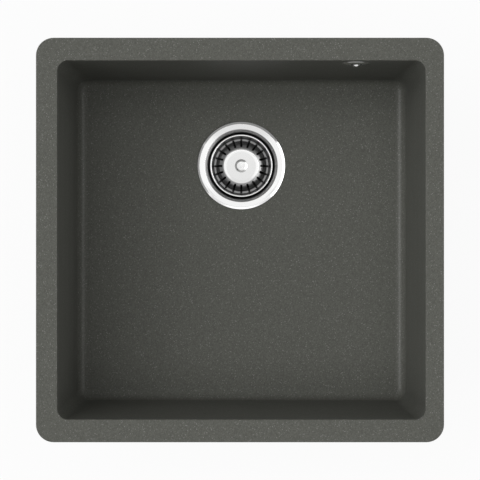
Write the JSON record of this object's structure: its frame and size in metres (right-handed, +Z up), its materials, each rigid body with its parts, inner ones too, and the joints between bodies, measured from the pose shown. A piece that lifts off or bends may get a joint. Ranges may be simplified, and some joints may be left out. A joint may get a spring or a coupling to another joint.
{
  "type": "undermount kitchen sink",
  "caption": "Square single-bowl undermount sink with a plain flat rim, a basket strainer waste near the back, a wall overflow and swivel fixing clips.",
  "frame": {"origin": "centre of the rim's top plane, which lies against the underside of the worktop", "axes": "+Z up out of the bowl, +Y to the back (overflow and drain side), +X to the right"},
  "size_m": [0.46, 0.4594, 0.288],
  "materials": {
    "granite_composite": "matte with fine light flecks",
    "polished_steel": "polished",
    "brushed_steel": "satin",
    "turned_steel": "turned, radial highlights",
    "zinc_steel": "zinc plated",
    "brass": "machined",
    "black_plastic": "moulded",
    "grey_hose": "ribbed, soft sheen",
    "black_rubber": "moulded"
  },
  "bodies": {
    "root": {"bowl": "granite_composite", "strainer_cup": "polished_steel", "flange_gasket": "black_rubber", "lower_gasket": "black_rubber", "waste_body": "black_plastic", "clamp_screw": "brushed_steel", "clamp_nut": "brass", "overflow_rosette": "brushed_steel", "overflow_screw": "brushed_steel", "overflow_gasket": "black_rubber", "overflow_elbow": "black_plastic", "overflow_insert": "brass", "overflow_hose": "grey_hose", "hose_clamp": "zinc_steel", "hose_clamp_screw": "zinc_steel", "hose_nut": "black_plastic", "hose_seal": "black_rubber", "rim_inserts": "brass", "clip_screws": "zinc_steel", "clip_washers": "zinc_steel"},
    "basket_seal_set": {"basket_seal": "black_rubber", "seal_retainer": "brushed_steel"},
    "basket_set": {"basket": "polished_steel", "basket_knob": "turned_steel", "basket_stem": "brushed_steel", "catch_ring": "brushed_steel"},
    "clip_front_left_body": {"clip_front_left": "zinc_steel"},
    "clip_front_right_body": {"clip_front_right": "zinc_steel"},
    "clip_right_front_body": {"clip_right_front": "zinc_steel"},
    "clip_right_back_body": {"clip_right_back": "zinc_steel"},
    "clip_back_right_body": {"clip_back_right": "zinc_steel"},
    "clip_back_left_body": {"clip_back_left": "zinc_steel"},
    "clip_left_back_body": {"clip_left_back": "zinc_steel"},
    "clip_left_front_body": {"clip_left_front": "zinc_steel"}
  },
  "joints": [
    {"name": "basket_lift", "type": "slide", "parent": "root", "child": "basket_seal_set", "axis": [0, 0, 1], "range_m": [0, 0.05]},
    {"name": "basket_turn", "type": "hinge", "parent": "basket_seal_set", "child": "basket_set", "pos_m": [0.0016, 0.092, -0.213], "axis": [0, 0, 1], "continuous": true},
    {"name": "clip_front_left_swivel", "type": "hinge", "parent": "root", "child": "clip_front_left_body", "pos_m": [-0.11, -0.21685, -0.01345], "axis": [0, 0, 1], "range_deg": [0, 180]},
    {"name": "clip_front_right_swivel", "type": "hinge", "parent": "root", "child": "clip_front_right_body", "pos_m": [0.11, -0.21685, -0.01345], "axis": [0, 0, 1], "range_deg": [0, 180]},
    {"name": "clip_right_front_swivel", "type": "hinge", "parent": "root", "child": "clip_right_front_body", "pos_m": [0.2237, -0.11, -0.01345], "axis": [0, 0, 1], "range_deg": [0, 180]},
    {"name": "clip_right_back_swivel", "type": "hinge", "parent": "root", "child": "clip_right_back_body", "pos_m": [0.2237, 0.11, -0.01345], "axis": [0, 0, 1], "range_deg": [0, 180]},
    {"name": "clip_back_right_swivel", "type": "hinge", "parent": "root", "child": "clip_back_right_body", "pos_m": [0.042, 0.21685, -0.01345], "axis": [0, 0, 1], "range_deg": [0, 180]},
    {"name": "clip_back_left_swivel", "type": "hinge", "parent": "root", "child": "clip_back_left_body", "pos_m": [-0.115, 0.21685, -0.01345], "axis": [0, 0, 1], "range_deg": [0, 180]},
    {"name": "clip_left_back_swivel", "type": "hinge", "parent": "root", "child": "clip_left_back_body", "pos_m": [-0.2205, 0.11, -0.01345], "axis": [0, 0, 1], "range_deg": [0, 180]},
    {"name": "clip_left_front_swivel", "type": "hinge", "parent": "root", "child": "clip_left_front_body", "pos_m": [-0.2205, -0.11, -0.01345], "axis": [0, 0, 1], "range_deg": [0, 180]}
  ]
}
